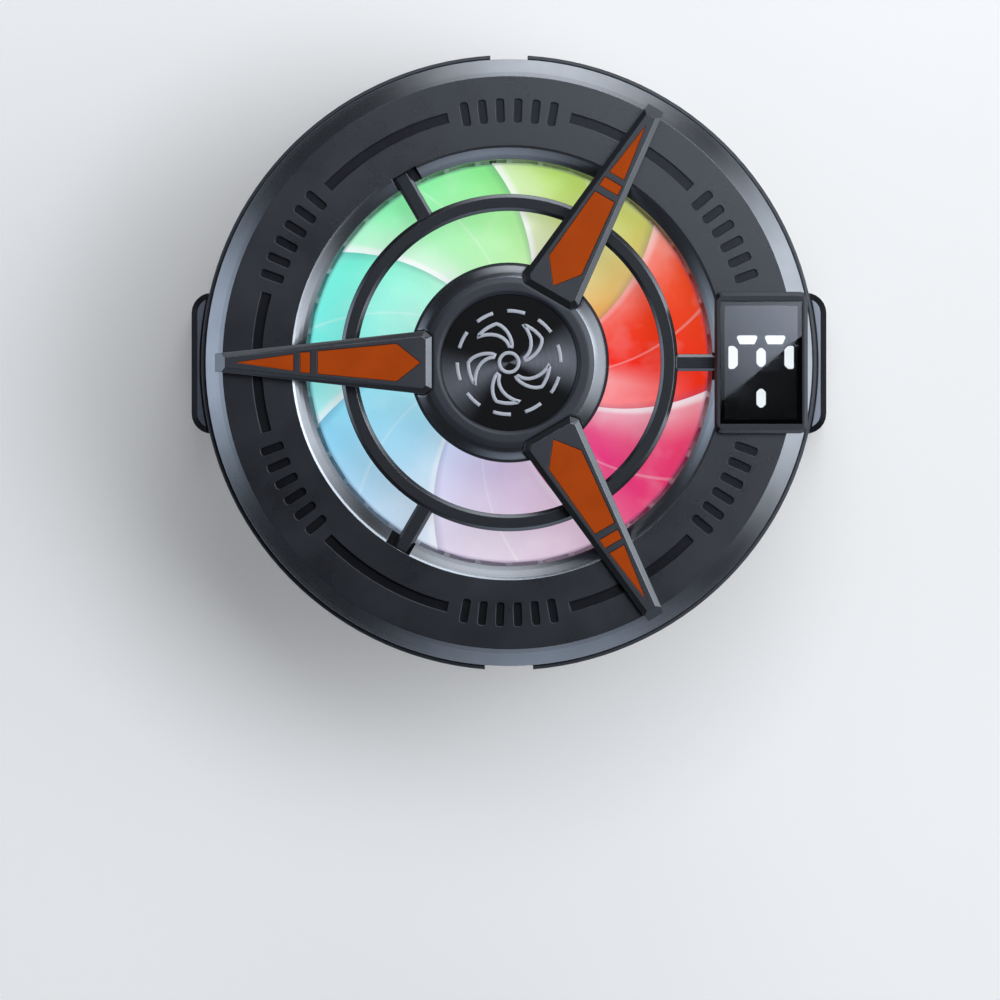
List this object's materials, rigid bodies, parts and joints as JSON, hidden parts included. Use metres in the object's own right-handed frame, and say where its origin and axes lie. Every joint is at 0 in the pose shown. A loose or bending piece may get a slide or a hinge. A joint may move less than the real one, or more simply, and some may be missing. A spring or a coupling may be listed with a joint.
{
  "type": "phone cooling fan",
  "caption": "Round clip-on phone cooler: a lit fan behind a guard with tapered arms in a bevelled ring face, a small display, a cold plate behind and sprung side jaws.",
  "frame": {"origin": "centre of the contact pad's face, where the phone's back meets it", "axes": "+Z out of the front, along the fan's axis, +X towards the display, +Y towards the mode button; the part lies on its back on the jaws' lips"},
  "size_m": [0.0752, 0.0724, 0.0347],
  "materials": {
    "shell_plastic": "fine-grained satin",
    "bezel_plastic": "satin face with a polished bevel",
    "guard_plastic": "satin",
    "badge_gloss": "polished black",
    "inlay_orange": "satin lacquer",
    "window_smoked": "polished smoked",
    "segment_white": "lit",
    "module_black": "matt",
    "board_green": "solder mask",
    "lamp_white": "clear dome over white",
    "diffuser": "milky, lit from behind",
    "fan_clear": "translucent, lit",
    "steel": "plated",
    "spring_steel": "bright drawn",
    "magnet": "sintered",
    "copper": "enamelled wire",
    "bronze": "sintered",
    "aluminium": "extruded",
    "plate_aluminium": "fine turned",
    "ceramic": "fired",
    "foam": "closed cell",
    "pad_silicone": "soft matt",
    "grip_rubber": "ribbed",
    "wire_red": "sleeved",
    "flex_amber": "film"
  },
  "bodies": {
    "housing": {"thermal_pad": "pad_silicone", "cold_plate": "plate_aluminium", "peltier_module": "ceramic", "foam_gasket": "foam", "power_leads": "wire_red", "heatsink": "aluminium", "rear_cover": "shell_plastic", "rear_shell": "shell_plastic", "mid_shell": "shell_plastic", "front_bezel": "bezel_plastic", "fan_guard": "guard_plastic", "hub_cap": "bezel_plastic", "hub_badge": "badge_gloss", "needle_upper": "bezel_plastic", "needle_left": "bezel_plastic", "needle_lower": "bezel_plastic", "inlay_upper": "inlay_orange", "inlay_left": "inlay_orange", "inlay_lower": "inlay_orange", "display_frame": "bezel_plastic", "display_window": "window_smoked", "display_module": "module_black", "display_segments": "segment_white", "display_flex": "flex_amber", "control_board": "board_green", "lamps": "lamp_white", "light_ring": "diffuser", "inlet_shell": "steel", "inlet_tongue": "module_black", "button_switch": "module_black", "motor_base": "module_black", "motor_board": "board_green", "bearing_tube": "bronze", "stator_core": "steel", "stator_windings": "copper", "fan_lead": "module_black", "left_springs": "spring_steel", "right_springs": "spring_steel", "cover_screws": "steel", "heatsink_screws": "steel", "board_screws": "steel", "motor_screws": "steel"},
    "rotor": {"impeller": "fan_clear", "rotor_yoke": "steel", "rotor_magnet": "magnet", "rotor_shaft": "steel"},
    "left_jaw": {"left_jaw": "shell_plastic", "left_grip": "grip_rubber"},
    "right_jaw": {"right_jaw": "shell_plastic", "right_grip": "grip_rubber"},
    "mode_button": {"mode_button": "shell_plastic"}
  },
  "joints": [
    {"name": "fan_spin", "type": "hinge", "parent": "housing", "child": "rotor", "pos_m": [0, 0, 0.0172], "axis": [0, 0, 1], "continuous": true},
    {"name": "left_jaw_slide", "type": "slide", "parent": "housing", "child": "left_jaw", "axis": [-1, 0, 0], "range_m": [-0.002, 0.007], "stiffness_N_per_m": 250, "springref_m": -0.012, "deforming": ["left_springs"]},
    {"name": "right_jaw_slide", "type": "slide", "parent": "housing", "child": "right_jaw", "axis": [1, 0, 0], "range_m": [-0.002, 0.007], "stiffness_N_per_m": 250, "springref_m": -0.012, "deforming": ["right_springs"]},
    {"name": "mode_button_press", "type": "slide", "parent": "housing", "child": "mode_button", "axis": [0, -1, 0], "range_m": [0, 0.0005], "stiffness_N_per_m": 600, "springref_m": -0.0006}
  ]
}
